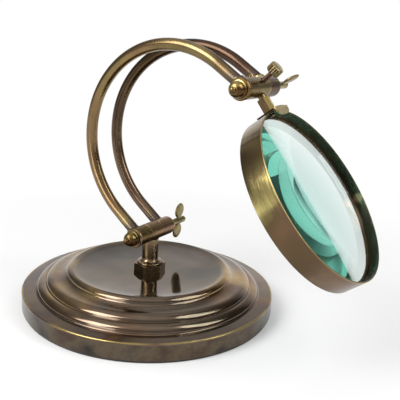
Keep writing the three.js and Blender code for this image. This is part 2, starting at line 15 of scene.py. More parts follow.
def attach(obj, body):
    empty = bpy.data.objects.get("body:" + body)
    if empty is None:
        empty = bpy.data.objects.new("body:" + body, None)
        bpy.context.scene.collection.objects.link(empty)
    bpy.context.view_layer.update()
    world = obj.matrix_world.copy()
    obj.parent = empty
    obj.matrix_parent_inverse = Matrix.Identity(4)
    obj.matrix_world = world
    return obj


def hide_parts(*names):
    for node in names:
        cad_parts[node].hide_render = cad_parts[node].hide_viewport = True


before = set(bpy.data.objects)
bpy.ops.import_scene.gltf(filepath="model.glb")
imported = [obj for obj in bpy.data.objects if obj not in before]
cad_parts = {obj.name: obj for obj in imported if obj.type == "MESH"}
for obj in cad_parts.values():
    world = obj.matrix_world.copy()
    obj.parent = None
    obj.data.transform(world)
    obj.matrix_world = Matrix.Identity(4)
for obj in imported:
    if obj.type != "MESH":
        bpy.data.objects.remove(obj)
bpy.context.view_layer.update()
scene = bpy.context.scene

# %% [markdown]
# ## Sizes
# The sizes are the ones that the maker of the stand would write on the drawing, in millimetres.
# One factor turns them into metres when a shape is made.

# %% Sizes of the stand
MM = 0.001
ACROSS = Vector((0, 1, 0))
LOWER_AXIS = Vector((0, 0, 48.65))
UPPER_AXIS = Vector((67.97, 0, 147.11))
HEAD_TILT = math.radians(38.1)
LENS_SWIVEL = math.radians(1.4)
THUMB_TURN = math.radians(46)
BASE_RADIUS = 81.4
RIM_TOP = 12
ARM_SIDE = 12.33
RING_RADIUS = 52.0

stem_way = Vector((math.sin(HEAD_TILT), 0, -math.cos(HEAD_TILT)))
head_facing = Vector((math.cos(HEAD_TILT), 0, math.sin(HEAD_TILT)))
lens_facing = head_facing * math.cos(LENS_SWIVEL) + ACROSS * math.sin(LENS_SWIVEL)
lens_across = stem_way.cross(lens_facing)
thumb_way = Vector((math.cos(THUMB_TURN), 0, math.sin(THUMB_TURN)))
print("stem runs along", [round(v, 3) for v in stem_way])

# %% [markdown]
# ## Camera
# The camera stands where the photographer stood: right of the near side and a little above, about 38 cm away.
# Its three directions were solved from the outlines of the base, the arms and the band.

# %% Camera
def placed(name, data):
    """A new object with its data, put into the scene."""
    made = bpy.data.objects.new(name, data)
    scene.collection.objects.link(made)
    return made


def frame_from(origin, x, y, z):
    """A frame in metres at a place, with three directions as its axes."""
    return Matrix.Translation(origin) @ Matrix((x, y, z)).transposed().to_4x4()


CAMERA_PLACE = Vector((220.182, -305.095, 174.3)) * MM
CAMERA_RIGHT = Vector((0.84655, 0.52942, 0.05532))
CAMERA_UP = Vector((-0.18558, 0.19613, 0.96286))
camera_data = bpy.data.cameras.new("camera")
camera_data.sensor_width = 36
camera_data.lens = 54.762
camera = placed("camera", camera_data)
camera.matrix_world = frame_from(CAMERA_PLACE, CAMERA_RIGHT, CAMERA_UP, CAMERA_RIGHT.cross(CAMERA_UP))
scene.camera = camera
print("camera at", [round(v, 3) for v in CAMERA_PLACE])

# %% [markdown]
# ## Metal finishes
# Old brass is never one colour: the lacquer has gone, the hollows are brown, and hands have polished the edges.
# Each finish mixes a body colour with a darker patina by a cloudy noise, and lets fine marks break the gloss.
# The noises read Object coordinates, so they stay on the piece when it turns.

# %% Node helpers
def new_material(name):
    """A new material, its node tree and its Principled shader."""
    material = bpy.data.materials.new(name)
    material.use_nodes = True
    return material, material.node_tree, material.node_tree.nodes["Principled BSDF"]


def feed(tree, socket, value):
    """Gives a socket its value: a link from another socket, or a constant."""
    if isinstance(value, bpy.types.NodeSocket):
        tree.links.new(value, socket)
    else:
        socket.default_value = value


def put(tree, node, values):
    """Feeds some inputs of a node, by name."""
    for name, value in values.items():
        feed(tree, node.inputs[name], value)


def place_in(tree, frame_at=None, stretch=(1, 1, 1)):
    """Object coordinates, or a piece's own frame, with the pattern packed closer along its axes by stretch."""
    place = tree.nodes.new("ShaderNodeTexCoord")
    mapping = tree.nodes.new("ShaderNodeMapping")
    mapping.vector_type = "TEXTURE"
    if frame_at:
        put(tree, mapping, {"Location": frame_at.to_translation(), "Rotation": frame_at.to_euler()})
    put(tree, mapping, {"Scale": [1 / s for s in stretch], "Vector": place.outputs["Object"]})
    return mapping.outputs["Vector"]


# %% Patterns and their ranges
def noise(tree, place, scale, detail=4.0, roughness=0.55):
    """A noise at a place socket; scale is how many lumps a metre holds."""
    made = tree.nodes.new("ShaderNodeTexNoise")
    put(tree, made, {"Scale": scale, "Detail": detail, "Roughness": roughness, "Vector": place})
    return made.outputs["Fac"]


def span(tree, value, low, high, out_low=0.0, out_high=1.0):
    """Maps a value from one range to another and clamps it."""
    made = tree.nodes.new("ShaderNodeMapRange")
    put(tree, made, {"Value": value, "From Min": low, "From Max": high, "To Min": out_low, "To Max": out_high})
    return made.outputs["Result"]


# %% Sums and colours
def reckon(tree, operation, *values):
    """One Math node; a value is a socket or a number."""
    made = tree.nodes.new("ShaderNodeMath")
    made.operation = operation
    for socket, value in zip(made.inputs, values):
        feed(tree, socket, value)
    return made.outputs[0]


def reckon_vectors(tree, operation, *values):
    """One Vector Math node; gives a number for a length, a distance or a dot product."""
    made = tree.nodes.new("ShaderNodeVectorMath")
    made.operation = operation
    for socket, value in zip(made.inputs, values):
        feed(tree, socket, value)
    return made.outputs["Value" if operation in ("LENGTH", "DISTANCE", "DOT_PRODUCT") else "Vector"]


def split_up(tree, place):
    """The X, Y and Z of a place, each as a socket."""
    made = tree.nodes.new("ShaderNodeSeparateXYZ")
    tree.links.new(place, made.inputs[0])
    return made.outputs["X"], made.outputs["Y"], made.outputs["Z"]


def distance_from_axis(tree, x, y):
    """How far a point lies from the Z axis of its frame."""
    flat = tree.nodes.new("ShaderNodeCombineXYZ")
    put(tree, flat, {"X": x, "Y": y})
    return reckon_vectors(tree, "LENGTH", flat.outputs[0])


def blend_colors(tree, share, first, second):
    """Mixes two colours by a share; either may be a socket."""
    made = tree.nodes.new("ShaderNodeMix")
    made.data_type = "RGBA"
    tree.links.new(share, made.inputs[0])
    for socket, color in ((made.inputs[6], first), (made.inputs[7], second)):
        feed(tree, socket, color if isinstance(color, bpy.types.NodeSocket) else (*color, 1))
    return made.outputs[2]


def color_stops(tree, value, low, high, stops):
    """A row of colours along a value; each stop is (value, colour)."""
    made = tree.nodes.new("ShaderNodeValToRGB")
    ramp = made.color_ramp
    while len(ramp.elements) < len(stops):
        ramp.elements.new(0.5)
    for element, (at, color) in zip(ramp.elements, stops):
        element.position = (at - low) / (high - low)
        element.color = (*color, 1)
    tree.links.new(span(tree, value, low, high), made.inputs["Fac"])
    return made.outputs["Color"]

# %% [markdown]
# Concave corners are made darker and sharp edges gold. The Pointiness of the surface tells both, so one rule serves
# every piece.

# %% Aged brass
DEEP_BROWN = (0.05, 0.034, 0.022)
WORN_GOLD = (0.78, 0.58, 0.25)


def aged(tree, place, body, blush, patina, cloud, patina_from, wear=0.3):
    """Body colour drifting to a blush, dark in clouds and corners, gold on rubbed edges; also gives the clouds."""
    drift = span(tree, noise(tree, place, cloud * 0.4, 2.0), 0.4, 0.62)
    color = blend_colors(tree, drift, body, blush)
    clouds = span(tree, noise(tree, place, cloud, 6.0), patina_from - 0.12, patina_from + 0.2, 0, 0.85)
    color = blend_colors(tree, clouds, color, patina)
    geometry = tree.nodes.new("ShaderNodeNewGeometry")
    # Concave corners, where the Pointiness is low, are made darker.
    corners = span(tree, geometry.outputs["Pointiness"], 0.47, 0.4, 0, 0.7)
    color = blend_colors(tree, corners, color, DEEP_BROWN)
    edges = span(tree, geometry.outputs["Pointiness"], 0.53, 0.6, 0, wear)
    return blend_colors(tree, edges, color, WORN_GOLD), clouds


def polish(tree, shader, place, color, clouds, gloss, haze=0.1, relief=0.02):
    """Joins a colour to the metal shader; clouds dull the gloss and fine marks break it."""
    marks = noise(tree, place, 2500.0, 2.0)
    dull = reckon(tree, "MULTIPLY", clouds, haze)
    rough = reckon(tree, "ADD", dull, span(tree, marks, 0.3, 0.7, gloss, gloss + 0.02))
    bump = tree.nodes.new("ShaderNodeBump")
    put(tree, bump, {"Strength": relief, "Distance": 0.0002, "Height": marks})
    put(tree, shader, {"Base Color": color, "Metallic": 1, "Roughness": rough, "Normal": bump.outputs["Normal"]})


def brass(name, body, blush, patina, gloss, cloud, patina_from, wear=0.3):
    """A whole brass finish for the turned and bent pieces."""
    material, tree, shader = new_material(name)
    place = place_in(tree)
    color, clouds = aged(tree, place, body, blush, patina, cloud, patina_from, wear)
    polish(tree, shader, place, color, clouds, gloss, 0.1, 0.006)
    return material


# body, blush and patina colours, gloss, cloud scale, where the patina begins, gold on the edges
BRASSES = {
    "dark_brass": ((0.27, 0.195, 0.11), (0.28, 0.18, 0.11), (0.13, 0.09, 0.06), 0.22, 90, 0.5, 0.1),
    "olive_brass": ((0.31, 0.22, 0.09), (0.24, 0.15, 0.07), (0.13, 0.09, 0.045), 0.18, 50, 0.56),
    "red_brass": ((0.12, 0.06, 0.034), (0.12, 0.075, 0.03), (0.07, 0.04, 0.024), 0.31, 110, 0.54),
    "copper_brass": ((0.32, 0.19, 0.11), (0.3, 0.21, 0.1), (0.17, 0.105, 0.062), 0.31, 110, 0.55),
    "barrel_brass": ((0.23, 0.165, 0.045), (0.2, 0.115, 0.05), (0.09, 0.06, 0.027), 0.31, 140, 0.55),
    "gold_brass": ((0.24, 0.185, 0.06), (0.2, 0.135, 0.048), (0.1, 0.07, 0.03), 0.3, 140, 0.56),
    "wing_brass": ((0.37, 0.31, 0.14), (0.3, 0.24, 0.11), (0.17, 0.13, 0.07), 0.3, 120, 0.54),
    "strap_brass": ((0.5, 0.43, 0.17), (0.4, 0.32, 0.13), (0.2, 0.14, 0.07), 0.24, 140, 0.56),
    # The dark solder finish is partly painted shade where the tubes meet the barrels.
    "solder_and_shade_brass": ((0.1, 0.08, 0.06), (0.14, 0.1, 0.06), (0.05, 0.04, 0.033), 0.3, 300, 0.5, 0.1),
}
finishes = {name: brass(name, *looks) for name, looks in BRASSES.items()}
print("plain brass finishes:", ", ".join(finishes))

# %% [markdown]
# The base is one polished piece whose tone changes from ring to ring: a grey-brown mirror on top, warmer mouldings,
# and a dull dark side with a gold line along the rim's top edge, partly rubbed metal and partly a painted highlight.
# Painting it by hand would need a picture; here its colour is read from how far out and how high a point lies, and a
# thin clear coat stands for the worn lacquer.

# %% Base finish
material, tree, shader = new_material("base_brass")
place = place_in(tree)
x, y, z = split_up(tree, place)
from_axis = distance_from_axis(tree, x, y)
PLATE, MOULDING, LEDGE = (0.058, 0.042, 0.026), (0.34, 0.24, 0.13), (0.14, 0.09, 0.062)
tones = [(0, PLATE), (0.046, PLATE), (0.051, MOULDING), (0.068, (0.3, 0.2, 0.11)), (0.0735, LEDGE)]
tone = color_stops(tree, from_axis, 0, BASE_RADIUS * MM, tones)
heats = [(0.34, (0.65, 0.66, 0.72)), (0.43, (1, 1, 1)), (0.5, (1.35, 1.28, 0.8))]
heats += [(0.57, (1.15, 0.78, 0.68)), (0.68, (0.55, 0.54, 0.56))]
heat = color_stops(tree, noise(tree, place, 20, 4), 0.32, 0.7, heats)
tinted = reckon_vectors(tree, "MULTIPLY", tone, heat)
color, clouds = aged(tree, place, tinted, (0.17, 0.125, 0.085), (0.075, 0.055, 0.042), 34, 0.56, 0.3)
side = span(tree, z, (RIM_TOP - 0.8) * MM, (RIM_TOP - 1.4) * MM)
far_out = span(tree, from_axis, (BASE_RADIUS - 0.8) * MM, (BASE_RADIUS - 0.4) * MM)
side = reckon(tree, "MULTIPLY", side, far_out)
side_tones = [(0.35, (0.028, 0.024, 0.022)), (0.45, (0.07, 0.054, 0.042))]
side_tones += [(0.55, (0.115, 0.088, 0.058)), (0.66, (0.075, 0.046, 0.034))]
side_tone = color_stops(tree, noise(tree, place, 40, 6, 0.6), 0.33, 0.68, side_tones)
color = blend_colors(tree, side, color, side_tone)
# The gold line along the rim's top edge is partly rubbed metal and partly a painted highlight.
edge_high = span(tree, z, (RIM_TOP - 0.7) * MM, (RIM_TOP - 0.3) * MM)
edge_out = span(tree, from_axis, (BASE_RADIUS - 1.2) * MM, (BASE_RADIUS - 0.6) * MM)
rub_and_glint = span(tree, noise(tree, place, 30, 3), 0.4, 0.56, 0.05, 0.8)
edge = reckon(tree, "MULTIPLY", reckon(tree, "MULTIPLY", edge_high, edge_out), rub_and_glint)
color = blend_colors(tree, edge, color, (0.5, 0.37, 0.13))
dull = reckon(tree, "MAXIMUM", clouds, reckon(tree, "MULTIPLY", side, 1.6))
moulded = span(tree, from_axis, 0.048, 0.052, 0, 0.75)
dull = reckon(tree, "MAXIMUM", dull, moulded)
polish(tree, shader, place, color, dull, 0.06, 0.12, 0.0)
put(tree, shader, {"Coat Weight": 0.2, "Coat Roughness": 0.06})
finishes["base_brass"] = material
print("base tones read out to", BASE_RADIUS, "mm")

# %% [markdown]
# ## Felt, steel and glass
# The felt is a dark matt pad, the nut and washer under the base are plain steel, and the lens is old greenish glass.
# Real glass takes its colour in its depth, so the tint is an absorbing volume and not a painted face: straight
# through the lens it is nearly clear, and where light is mirrored between the faces it turns sea green.

# %% Felt, steel and glass
felt, tree, shader = new_material("felt")
tone = blend_colors(tree, noise(tree, place_in(tree), 1500, 3), (0.012, 0.012, 0.011), (0.05, 0.047, 0.043))
put(tree, shader, {"Base Color": tone, "Roughness": 0.95, "Sheen Weight": 0.3})

steel, tree, shader = new_material("steel")
marks = noise(tree, place_in(tree, None, (1, 1, 8)), 300, 4)
tone = blend_colors(tree, marks, (0.3, 0.29, 0.28), (0.6, 0.58, 0.55))
put(tree, shader, {"Base Color": tone, "Metallic": 1, "Roughness": span(tree, marks, 0.3, 0.7, 0.3, 0.5)})

glass, tree, shader = new_material("glass")
smears = noise(tree, place_in(tree), 45, 4)
tone = blend_colors(tree, smears, (0.97, 0.995, 0.99), (1, 1, 1))
put(tree, shader, {"Base Color": tone, "Roughness": span(tree, smears, 0.5, 0.75, 0.0, 0.01)})
put(tree, shader, {"Transmission Weight": 1, "IOR": 1.52})
absorb = tree.nodes.new("ShaderNodeVolumeAbsorption")
put(tree, absorb, {"Color": (0.16, 0.8, 0.66, 1), "Density": 20})
put(tree, tree.nodes["Material Output"], {"Volume": absorb.outputs["Volume"]})
finishes |= {"felt": felt, "steel": steel, "glass": glass}
print("finishes so far:", len(finishes))

# %% [markdown]
# ## Turned pieces
# Nearly every part of this stand comes off a lathe. The same is done here: half of the outline is drawn from the
# axis outwards, spun once round, merged at the seam and at the axis, and its sharp corners are broken by a bevel.

# %% Making and finishing a mesh
pieces = []


def clean(bm):
    """Merges doubled points, drops slivers and turns all faces outward."""
    bmesh.ops.remove_doubles(bm, verts=bm.verts, dist=1e-7)
    bmesh.ops.dissolve_degenerate(bm, dist=1e-7, edges=bm.edges)
    bmesh.ops.recalc_face_normals(bm, faces=bm.faces)


def mesh_of(name, bm):
    """A mesh of what a bmesh holds; the bmesh is given up."""
    mesh = bpy.data.meshes.new(name)
    bm.to_mesh(mesh)
    bm.free()
    return mesh


def finished(name, bm, frame_at, slot, body, *nodes_replaced, sharp=32, finish=None):
    """Turns a bmesh into a piece in its place, with its finish, riding on its body."""
    clean(bm)
    bm.transform(frame_at)
    mesh = mesh_of(name, bm)
    mesh.shade_smooth()
    mesh.set_sharp_from_angle(angle=math.radians(sharp))
    piece = placed(name, mesh)
    mesh.materials.append(finishes[finish or slot])
    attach(piece, body)
    pieces.append(piece)
    if nodes_replaced:
        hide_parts(*nodes_replaced)
    return piece


def frame_along(origin, way, side=None):
    """A frame in metres at a point in millimetres; its Z runs along way and its X along side."""
    z = way.normalized()
    x = side.normalized() if side else ACROSS.cross(z) if abs(z.y) < 0.5 else Vector((-1, 0, 0))
    x.normalize()
    return frame_from(origin * MM, x, z.cross(x), z)


# %% Lathe work
def spun(profile, steps, edge, segments=2):
    """A bmesh spun about Z from (radius, height) points in millimetres, with bevelled corners."""
    bm = bmesh.new()
    corners = [bm.verts.new((radius * MM, 0, height * MM)) for radius, height in profile]
    sides = [bm.edges.new(pair) for pair in zip(corners, corners[1:])]
    if profile[0][0] > 0:
        sides.append(bm.edges.new((corners[-1], corners[0])))
    bmesh.ops.spin(
        bm, geom=corners + sides, cent=(0, 0, 0), axis=(0, 0, 1), angle=math.tau, steps=steps, use_merge=True
    )
    clean(bm)
    break_corners(bm, edge, segments)
    return bm


def break_corners(bm, edge, segments=2):
    """Bevels the edges whose faces meet at more than 35 degrees."""
    if not edge:
        return
    sharp = [e for e in bm.edges if len(e.link_faces) == 2 and e.calc_face_angle() > math.radians(35)]
    kind = {"profile": 0.5, "affect": "EDGES", "clamp_overlap": True, "material": -1}
    bmesh.ops.bevel(bm, geom=sharp, offset=edge * MM, segments=segments, **kind)


def quarter(start, end, steps, hollow=False):
    """Points of a quarter ellipse: a rounded step, or a hollow cove."""
    points = []
    for i in range(1, steps + 1):
        angle = math.pi / 2 * i / steps
        s, c = math.sin(angle), math.cos(angle)
        if hollow:
            points.append((start[0] + (end[0] - start[0]) * s, end[1] + (start[1] - end[1]) * c))
        else:
            points.append((end[0] + (start[0] - end[0]) * c, start[1] + (end[1] - start[1]) * s))
    return points


# %% [markdown]
# ## Base
# The base is spun from sheet brass over a former: a plain rim, a ledge, two rounded beads with a groove between,
# a cove, a shoulder and a dished top that is nearly flat in the middle. A lathe outline with quarter ellipses
# follows that exactly.

# %% Base shell and felt pad
LOWER_BEAD, UPPER_BEAD, COVE, SHOULDER = (72.2, 13.1), (66.3, 16.7), (61, 20.3), (53.4, 22.6)
rim = [(BASE_RADIUS, 1.3), (BASE_RADIUS, RIM_TOP), (72.8, 12.5)]
lower_bead = [LOWER_BEAD] + quarter(LOWER_BEAD, (67.2, 17), 10)
upper_bead = [UPPER_BEAD] + quarter(UPPER_BEAD, COVE, 10)
cove = quarter(COVE, SHOULDER, 10, hollow=True)
shoulder = quarter(SHOULDER, (49.6, 25.2), 8)
dish = [(47, 24.5), (42, 24), (37, 23.6), (32, 23.3), (26, 23.1), (19, 23), (12, 22.9), (3.2, 22.8)]
inside = [(3.2, 20.7), (12, 20.7), (47.8, 23.4), (51.6, 20.8), (59.2, 18.5), (64.5, 14.9), (67.2, 13.4)]
inside += [(71, 10.7), (79.6, 10.2), (79.6, 1.3)]
profile = rim + lower_bead + upper_bead + cove + shoulder + dish + inside
bm = spun(profile, 192, 0.5, 3)
finished("base_shell_spun", bm, Matrix(), "base_brass", "base", "base_shell")

felt_radius, felt_top = BASE_RADIUS - 0.8, 1.2
bm = spun([(0, 0), (felt_radius, 0), (felt_radius, felt_top), (0, felt_top)], 160, 0.2)
finished("felt_disc", bm, Matrix(), "felt", "base", "felt_pad")
for name in ("base_washer", "base_nut"):
    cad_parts[name].data.materials.clear()
    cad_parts[name].data.materials.append(finishes["steel"])
print("base outline points:", len(profile))

# %% [markdown]
# ## Pillar and collar
# A turned pillar with a ring foot stands on a hexagonal collar. The collar starts as a six-sided circle that is
# extruded, and a shallow cone turned round it takes its top corners off, as a lathe does on a hexagonal bar.

# %% Cutting one bmesh piece with another
def cut(piece, cutter_bm, operation="DIFFERENCE"):
    """Applies a boolean of a throwaway cutter to a piece that is already made."""
    bmesh.ops.recalc_face_normals(cutter_bm, faces=cutter_bm.faces)
    mesh = mesh_of("cutter", cutter_bm)
    cutter = placed("cutter", mesh)
    modifier = piece.modifiers.new("cut", "BOOLEAN")
    modifier.operation = operation
    modifier.solver = "EXACT"
    modifier.object = cutter
    bpy.context.view_layer.update()
    evaluated = piece.evaluated_get(bpy.context.evaluated_depsgraph_get())
    made = bpy.data.meshes.new_from_object(evaluated)
    piece.modifiers.remove(modifier)
    old, piece.data = piece.data, made
    bpy.data.meshes.remove(old)
    bpy.data.objects.remove(cutter)
    bpy.data.meshes.remove(mesh)
    made.shade_smooth()
    made.set_sharp_from_angle(angle=math.radians(32))


def move_new(bm, made, by):
    """Moves the points that an extrusion has just made."""
    new = [v for v in made["geom"] if isinstance(v, bmesh.types.BMVert)]
    bmesh.ops.translate(bm, verts=new, vec=by)


def hexagon(corner_radius, start, end, turn):
    """A hexagonal bar along Z as a bmesh; turn is the angle of a corner from X."""
    bm = bmesh.new()
    bmesh.ops.create_circle(bm, cap_ends=True, radius=corner_radius * MM, segments=6)
    bmesh.ops.rotate(bm, verts=bm.verts, cent=(0, 0, 0), matrix=Matrix.Rotation(turn - math.pi / 6, 3, "Z"))
    bmesh.ops.translate(bm, verts=bm.verts, vec=(0, 0, start * MM))
    move_new(bm, bmesh.ops.extrude_face_region(bm, geom=list(bm.faces)), (0, 0, (end - start) * MM))
    bmesh.ops.recalc_face_normals(bm, faces=bm.faces)
    break_corners(bm, 0.15)
    return bm


# %% Collar and pillar
COLLAR_CORNER = 10.4
COLLAR_TURN = math.radians(-13.8)
COLLAR_TOP = 27.75
PILLAR_FOOT = 27.8
PILLAR_TOP = 44.2
COLUMN_RADIUS = 5.2
collar_bar = hexagon(COLLAR_CORNER, 22.6, 27.7, COLLAR_TURN)
collar = finished("hex_collar_cut", collar_bar, Matrix(), "dark_brass", "base", "hex_collar")
cone = spun([(0, 20), (12.5, 20), (12.5, 25.6), (10.6, 26.7), (8.7, COLLAR_TOP), (0, COLLAR_TOP)], 96, 0)
cut(collar, cone, "INTERSECT")

foot = [(0, PILLAR_FOOT), (8.35, PILLAR_FOOT), (8.55, 28.2), (8.35, 28.6), (7.7, 28.7)]
foot += quarter((7.7, 28.7), (COLUMN_RADIUS, 31.2), 8, hollow=True)
column = [(COLUMN_RADIUS, height) for height in (35, 40, PILLAR_TOP)] + [(0, PILLAR_TOP)]
finished("pillar_turned", spun(foot + column, 96, 0.15), Matrix(), "dark_brass", "base", "pillar")
print("pillar stands", round(PILLAR_TOP - PILLAR_FOOT, 2), "mm over its collar")

# %% [markdown]
# ## Pivot barrels
# Each pivot is a barrel in three knuckles: the outer two carry the arms, the middle one is free to turn.
# All are turned along Y with broken corners, so the seams between them catch a thin line of light.

# %% Knuckles
BARREL = 5.95
BORE = 2.1
LOWER_HALF, LOWER_NEAR, LOWER_FAR = 6.05, 16.9, 19.4
UPPER_HALF, UPPER_NEAR, UPPER_FAR = 7.6, 18.6, 19.5
PLAY = 0.1

barrels = {}
for name, axis, start, end, slot, body, finish, far_edge, groove in (
    ("lower_centre", LOWER_AXIS, -LOWER_HALF, LOWER_HALF, "red_brass", "base", "copper_brass", 0.2, None),
    ("lower_near", LOWER_AXIS, -LOWER_NEAR, -LOWER_HALF - PLAY, "barrel_brass", "arms", None, 0.2, None),
    ("lower_far", LOWER_AXIS, LOWER_HALF + PLAY, LOWER_FAR, "red_brass", "arms", "copper_brass", 1.1, None),
    ("upper_centre", UPPER_AXIS, -UPPER_HALF, UPPER_HALF, "barrel_brass", "head", "gold_brass", 0.2, None),
    ("upper_near", UPPER_AXIS, -UPPER_NEAR, -UPPER_HALF - PLAY, "barrel_brass", "arms", None, 0.2, 1.2 - UPPER_NEAR),
    ("upper_far", UPPER_AXIS, UPPER_HALF + PLAY, UPPER_FAR, "red_brass", "arms", None, 1.1, None),
):
    profile = [(BORE, start), (BARREL - 0.2, start), (BARREL, start + 0.2)]
    if groove:
        profile += [(BARREL, groove - 0.25), (BARREL - 0.3, groove), (BARREL, groove + 0.25)]
    profile += [(BARREL, end - far_edge), (BARREL - far_edge * 0.3, end - far_edge * 0.3)]
    profile += [(BARREL - far_edge, end), (BORE, end)]
    bm, frame_at = spun(profile, 96, 0.1), frame_along(axis, ACROSS)
    barrels[name] = finished(name + "_barrel", bm, frame_at, slot, body, name + "_knuckle", finish=finish)
print("barrel sections:", len(barrels))

# %% Holes in the upper middle section
rod_hole = spun([(0, -8), (2.45, -8), (2.45, 8), (0, 8)], 48, 0)
rod_hole.transform(frame_along(UPPER_AXIS, stem_way))
cut(barrels["upper_centre"], rod_hole)
screw_hole = spun([(0, 0), (1.7, 0), (1.7, 4.9), (2.9, 6.2), (2.9, 9), (0, 9)], 48, 0)
screw_hole.transform(frame_along(UPPER_AXIS, thumb_way))
cut(barrels["upper_centre"], screw_hole)
print("faces round both holes:", len(barrels["upper_centre"].data.polygons))

# %% Bearing washers
for place, axis, near_end, slot, body in (
    ("lower", LOWER_AXIS, LOWER_NEAR, "dark_brass", "base"),
    ("upper", UPPER_AXIS, UPPER_NEAR, "barrel_brass", "head"),
):
    start = near_end + PLAY
    end = start + 1.5
    profile = [(BORE, start), (6.1, start), (6.25, start + 0.4), (6.1, start + 0.75), (6, start + 0.9), (5.7, end)]
    bm = spun(profile + [(BORE, end)], 96, 0.1)
    finished(place + "_washer_turned", bm, frame_along(axis, -ACROSS), slot, body, place + "_bearing_washer")
print("barrels along Y at heights", round(LOWER_AXIS.z, 2), "and", round(UPPER_AXIS.z, 2), "mm")

# %% [markdown]
# ## Screws
# The near ends have domed acorn screws with a small ball tip, turned in one go from the tip to the shank.
# The domes are gold, painted dark red-brown below as painted shade on their undersides. That is read from how far
# up a point lies, with a noise so that the border isn't a straight line.

# %% Acorn screw finish
def acorn_brass(name, frame_at, shine):
    """Gold above, with painted shade in dark red-brown below; a shine under 1 darkens the gold."""
    material, tree, shader = new_material(name)
    place = place_in(tree, frame_at)
    gold, amber = [[shine * c for c in color] for color in ((0.72, 0.58, 0.21), (0.44, 0.3, 0.1))]
    color, clouds = aged(tree, place, gold, amber, (0.13, 0.07, 0.03), 190, 0.52, 0.2)
    wander = span(tree, noise(tree, place, 260, 3), 0.3, 0.7, -0.0016, 0.0016)
    # Painted shade: the lower side of the dome, read from how far up a point lies, turns dark red-brown.
    up = reckon_vectors(tree, "DOT_PRODUCT", place, frame_at.to_3x3().inverted() @ Vector((-0.5, 0, 0.86)))
    underside_shade = span(tree, reckon(tree, "ADD", up, wander), 0.0016, -0.0008, 0, 0.92)
    color = blend_colors(tree, underside_shade, color, (0.08, 0.038, 0.016))
    polish(tree, shader, place, color, clouds, 0.26, 0.12, 0.006)
    finishes[name] = material


# %% Acorn screws
SHANK, SHANK_DEPTH = 1.9, 4.2
for place, axis, near_end, half, body, shine in (
    ("lower", LOWER_AXIS, LOWER_NEAR, LOWER_HALF, "base", 0.38),
    ("upper", UPPER_AXIS, UPPER_NEAR, UPPER_HALF, "head", 1),
):
    seat, tip = near_end + 1.7, half - SHANK_DEPTH
    profile = [(0, tip), (SHANK, tip), (SHANK, seat), (5, seat), (5.05, seat + 0.6)]
    profile += [(5, seat + 1.2), (4.3, seat + 1.3), (4.2, seat + 1.7), (4.6, seat + 1.85)]
    profile += quarter((4.6, seat + 1.85), (1.5, seat + 6.3), 10)
    profile += [(1.45, seat + 6.6), (1.7, seat + 7.1)] + quarter((1.7, seat + 7.1), (0, seat + 8.7), 6)
    bm = spun(profile, 64, 0.08)
    frame_at = frame_along(axis, -ACROSS)
    finish = place + "_acorn_brass"
    acorn_brass(finish, frame_at, shine)
    finished(place + "_acorn_turned", bm, frame_at, "bright_brass", body, place + "_acorn_screw", finish=finish)
    print(place, "acorn screw reaches", round(seat + 8.7, 2), "mm from the middle")

# %% [markdown]
# The far ends have wing screws: a round hub with two flat ears. The ears are flattened balls, joined to the hub by a
# boolean, as the casting is one piece of metal.

# %% Wing screws
EAR_HALF = 0.85 * MM


def ear(side):
    """One flat rounded ear as a bmesh in the frame (outward, along the hub, flat)."""
    bm = bmesh.new()
    bmesh.ops.create_uvsphere(bm, u_segments=40, v_segments=20, radius=1)
    bmesh.ops.scale(bm, verts=bm.verts, vec=(5.3 * MM, 4.9 * MM, EAR_HALF))
    for v in bm.verts:
        v.co.z = math.copysign(min(1, abs(v.co.z) / EAR_HALF * 1.6) * EAR_HALF, v.co.z)
    bmesh.ops.translate(bm, verts=bm.verts, vec=(side * 7.3 * MM, 0, 0))
    return bm


def neck():
    """The bar of metal through the hub that carries both ears."""
    bm = bmesh.new()
    bmesh.ops.create_cube(bm, size=1)
    bmesh.ops.scale(bm, verts=bm.verts, vec=(12 * MM, 3.6 * MM, 1.6 * MM))
    bmesh.ops.recalc_face_normals(bm, faces=bm.faces)
    break_corners(bm, 0.5, 4)
    return bm


for place, axis, far_end, half, degrees in (
    ("lower", LOWER_AXIS, LOWER_FAR, LOWER_HALF, 85),
    ("upper", UPPER_AXIS, UPPER_FAR, UPPER_HALF, 33.4),
):
    seat, tip = far_end + PLAY, half - SHANK_DEPTH
    profile = [(0, tip), (SHANK, tip), (SHANK, seat), (2.9, seat), (2.9, seat + 1.9)]
    profile += [(2.2, seat + 2.4), (2.15, seat + 8), (2.2, seat + 17.4)]
    profile += quarter((2.2, seat + 17.4), (0, seat + 19.6), 6)
    bm, frame_at, name = spun(profile, 48, 0.12), frame_along(axis, ACROSS), place + "_wing_screw"
    screw = finished(name + "_made", bm, frame_at, "bright_brass", place + "_wing", name, finish="wing_brass")
    wing_turn = math.radians(degrees)
    outward = Vector((math.cos(wing_turn), 0, math.sin(wing_turn)))
    middle = (axis + ACROSS * (far_end + 12.2)) * MM
    at = frame_from(middle, outward, ACROSS, outward.cross(ACROSS))
    for part in (neck(), ear(1), ear(-1)):
        part.transform(at)
        cut(screw, part, "UNION")
    print(place, "wing screw faces:", len(screw.data.polygons))

# %% [markdown]
# ## Thumb screw
# The thumb screw clamps the stem rod. Its head is knurled by coarse straight flutes: one round cutter is made,
# turned to each place round the head, and all of them are cut out together. Points in the flutes' hollows, nearer
# the axis than the rubbed crests, are made dark.

